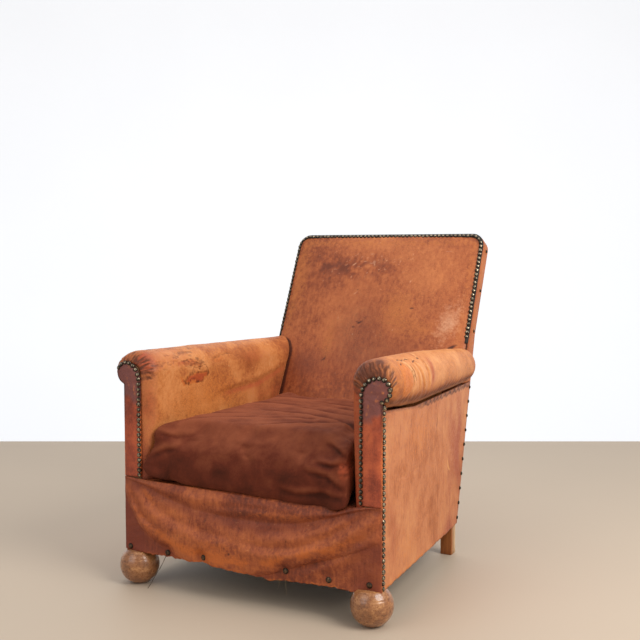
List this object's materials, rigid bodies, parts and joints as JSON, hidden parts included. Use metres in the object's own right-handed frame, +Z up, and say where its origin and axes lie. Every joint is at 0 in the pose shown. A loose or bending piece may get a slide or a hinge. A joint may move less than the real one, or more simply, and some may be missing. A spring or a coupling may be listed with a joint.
{
  "type": "worn club chair",
  "caption": "Small worn leather club chair with rolled arms, raked square back, ball feet in front, nailed edges and a loose velvet seat cushion.",
  "frame": {"origin": "middle of the chair's plan, on the floor under its feet", "axes": "+Z up; the chair faces -Y; +X is on the right of someone looking at its front"},
  "size_m": [0.7078, 0.8414, 0.8168],
  "materials": {
    "beech": "plain sawn beech, hidden inside",
    "leg_wood": "square leg, dark stained in front and pale raw wood at the side",
    "ball_wood": "turned ball, old brown varnish worn through in speckles",
    "jute": "woven jute web",
    "spring_steel": "dull tempered wire",
    "hessian": "loose plain weave sacking",
    "horsehair": "matted hair and fibre",
    "black_cloth": "thin black bottoming cloth",
    "back_leather": "red brown hide, scuffed dark with pale scratches, satin",
    "arm_leather": "golden tan hide, mottled, crackled and flaked, satin",
    "side_leather": "flat light tan hide with faint upright streaks, satin",
    "facing_leather": "red brown hide with a purple dark patina at the head",
    "apron_leather": "loose creased hide, frayed along its lower edge",
    "velvet": "worn rust brown velvet with wrinkles",
    "nail_brass": "dark antique patina with bright rubbed tops"
  },
  "bodies": {
    "root": {"front_rail": "beech", "rear_seat_rail": "beech", "back_lower_rail": "beech", "back_top_rail": "beech", "front_post_right": "beech", "front_post_left": "beech", "side_rail_right": "beech", "side_rail_left": "beech", "arm_rail_right": "beech", "arm_rail_left": "beech", "arm_tack_rail_right": "beech", "arm_tack_rail_left": "beech", "corner_block_right": "beech", "corner_block_left": "beech", "rear_leg_right": "leg_wood", "rear_leg_left": "leg_wood", "ball_foot_right": "ball_wood", "ball_foot_left": "ball_wood", "seat_webbing": "jute", "back_webbing": "jute", "seat_spring_1": "spring_steel", "seat_spring_2": "spring_steel", "seat_spring_3": "spring_steel", "seat_spring_4": "spring_steel", "seat_spring_5": "spring_steel", "seat_spring_6": "spring_steel", "seat_spring_7": "spring_steel", "seat_spring_8": "spring_steel", "seat_spring_9": "spring_steel", "spring_cover": "hessian", "seat_platform_cover": "hessian", "seat_stuffing": "horsehair", "back_stuffing": "horsehair", "arm_stuffing_right": "horsehair", "arm_stuffing_left": "horsehair", "dust_cover": "black_cloth", "back_cover": "back_leather", "back_border_top": "back_leather", "back_border_right": "back_leather", "back_border_left": "back_leather", "outside_back": "back_leather", "arm_cover_right": "arm_leather", "arm_cover_left": "arm_leather", "outside_arm_right": "side_leather", "outside_arm_left": "side_leather", "arm_facing_right": "facing_leather", "arm_facing_left": "facing_leather", "front_apron": "apron_leather", "seat_cushion": "velvet", "back_nail_row": "nail_brass", "arm_nail_row_right": "nail_brass", "arm_nail_row_left": "nail_brass", "apron_nail_1": "nail_brass", "apron_nail_2": "nail_brass", "apron_nail_3": "nail_brass", "apron_nail_4": "nail_brass", "apron_nail_5": "nail_brass", "apron_nail_6": "nail_brass"}
  },
  "joints": []
}
